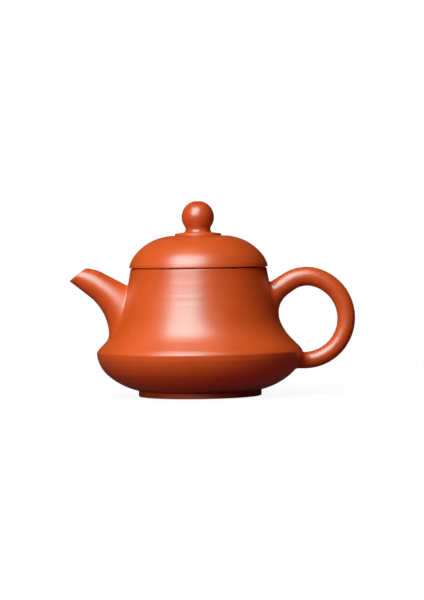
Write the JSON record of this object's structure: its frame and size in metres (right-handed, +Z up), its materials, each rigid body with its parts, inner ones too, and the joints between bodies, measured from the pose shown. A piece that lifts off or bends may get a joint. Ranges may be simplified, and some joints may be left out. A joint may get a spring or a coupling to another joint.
{
  "type": "yixing clay teapot",
  "caption": "Small unglazed red clay teapot with a bell-shaped body, ridged waist, short curved spout, round loop handle and a lift-off domed lid with a ball knob.",
  "frame": {"origin": "centre of the foot ring's resting face, on the pot's axis", "axes": "+Z up along the pot's axis, +X towards the handle, -X towards the spout"},
  "size_m": [0.1367, 0.0988, 0.0933],
  "materials": {
    "red_clay": "burnished unglazed clay, satin",
    "red_clay_inside": "unglazed clay, matte"
  },
  "bodies": {
    "pot": {"upper_wall": "red_clay", "mouth_ring": "red_clay", "lower_bowl": "red_clay", "foot_ring": "red_clay", "base_disc": "red_clay_inside", "spout": "red_clay", "strainer": "red_clay_inside", "handle": "red_clay"},
    "lid": {"lid_dome": "red_clay", "lid_seat_ring": "red_clay", "lid_flange": "red_clay_inside", "knob_disc": "red_clay", "knob": "red_clay"}
  },
  "joints": [
    {"name": "lid_lift", "type": "slide", "parent": "pot", "child": "lid", "axis": [0, 0, 1], "range_m": [0, 0.06]}
  ]
}
